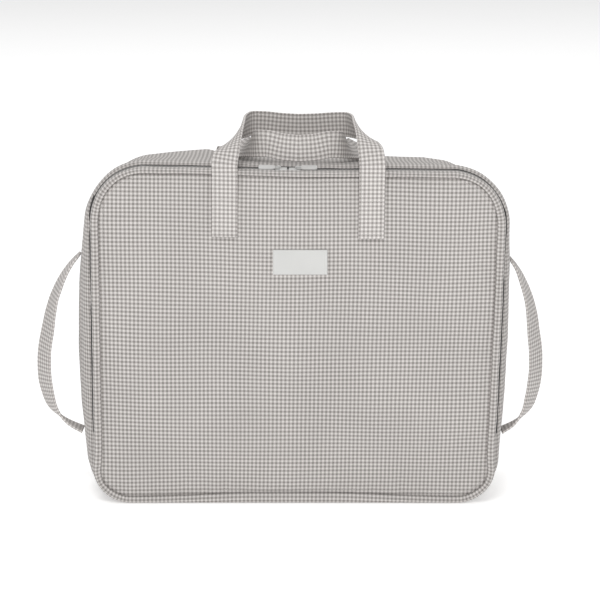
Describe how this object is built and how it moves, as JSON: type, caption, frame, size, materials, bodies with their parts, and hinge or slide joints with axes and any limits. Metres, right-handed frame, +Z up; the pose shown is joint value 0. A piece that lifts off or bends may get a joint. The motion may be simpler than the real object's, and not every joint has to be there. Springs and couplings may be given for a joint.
{
  "type": "padded gingham suitcase",
  "caption": "Small soft padded suitcase in check cloth, zipped closed and standing, with two strap handles, cloth side loops and hinged zip pulls.",
  "frame": {"origin": "on the floor, under the middle of the case, where it stands", "axes": "+Z up, the front panel faces -Y, +X to the right of someone who looks at the front"},
  "size_m": [0.55, 0.1663, 0.41],
  "materials": {
    "gingham": "padded cotton in a small grey and off-white check",
    "strap": "strap of the same check cloth with stitched edges",
    "zip_tape": "woven zip tape",
    "zip_coil": "satin nylon coil",
    "zip_metal": "satin light grey lacquer",
    "label": "smooth matt off-white patch, bare"
  },
  "bodies": {
    "case": {"front_panel": "gingham", "front_border": "gingham", "gusset": "gingham", "back_panel": "gingham", "flap_hinge": "gingham", "zip_tape_front": "zip_tape", "zip_tape_rear": "zip_tape", "zip_coil": "zip_coil", "zip_slider_left": "zip_metal", "zip_slider_right": "zip_metal", "front_handle": "strap", "back_handle": "strap", "side_strap_left": "strap", "side_strap_right": "strap", "label_patch": "label"},
    "pull_left": {"zip_pull_left": "zip_metal"},
    "pull_right": {"zip_pull_right": "zip_metal"}
  },
  "joints": [
    {"name": "left_pull_lift", "type": "hinge", "parent": "case", "child": "pull_left", "pos_m": [-0.02072, -0.06164, 0.35958], "axis": [0, 0.9211, 0.3892], "range_deg": [0, 100]},
    {"name": "right_pull_lift", "type": "hinge", "parent": "case", "child": "pull_right", "pos_m": [-0.00132, -0.06164, 0.35929], "axis": [0, -0.9211, -0.3892], "range_deg": [0, 100]}
  ]
}
